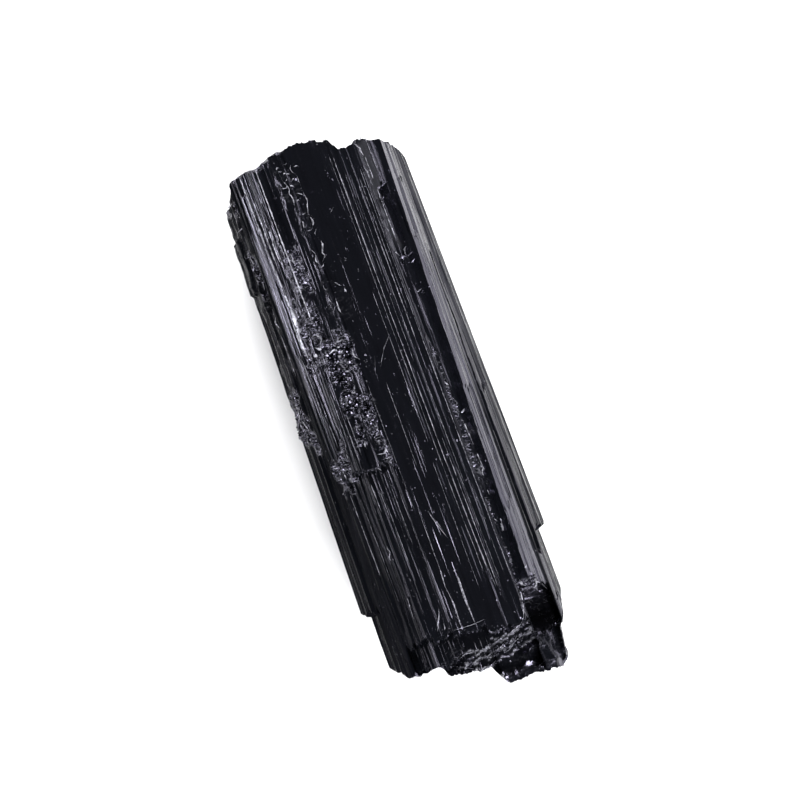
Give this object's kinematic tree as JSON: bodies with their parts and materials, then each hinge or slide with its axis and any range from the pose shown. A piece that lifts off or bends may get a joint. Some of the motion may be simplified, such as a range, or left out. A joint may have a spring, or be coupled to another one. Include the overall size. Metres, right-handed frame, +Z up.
{
  "type": "tourmaline crystal",
  "caption": "Raw black tourmaline crystal, a long rounded three-sided prism of fused, striated columns with broken ends, lying on one long face.",
  "frame": {"origin": "on the surface that the crystal rests on, under the middle of its bounding box", "axes": "+X across the crystal, to the right as seen from above with the head away, +Y along the crystal from its broken foot to its head, +Z up"},
  "size_m": [0.0287, 0.0818, 0.0208],
  "materials": {
    "black_tourmaline": "gloss"
  },
  "bodies": {
    "root": {"crystal": "black_tourmaline"}
  },
  "joints": []
}
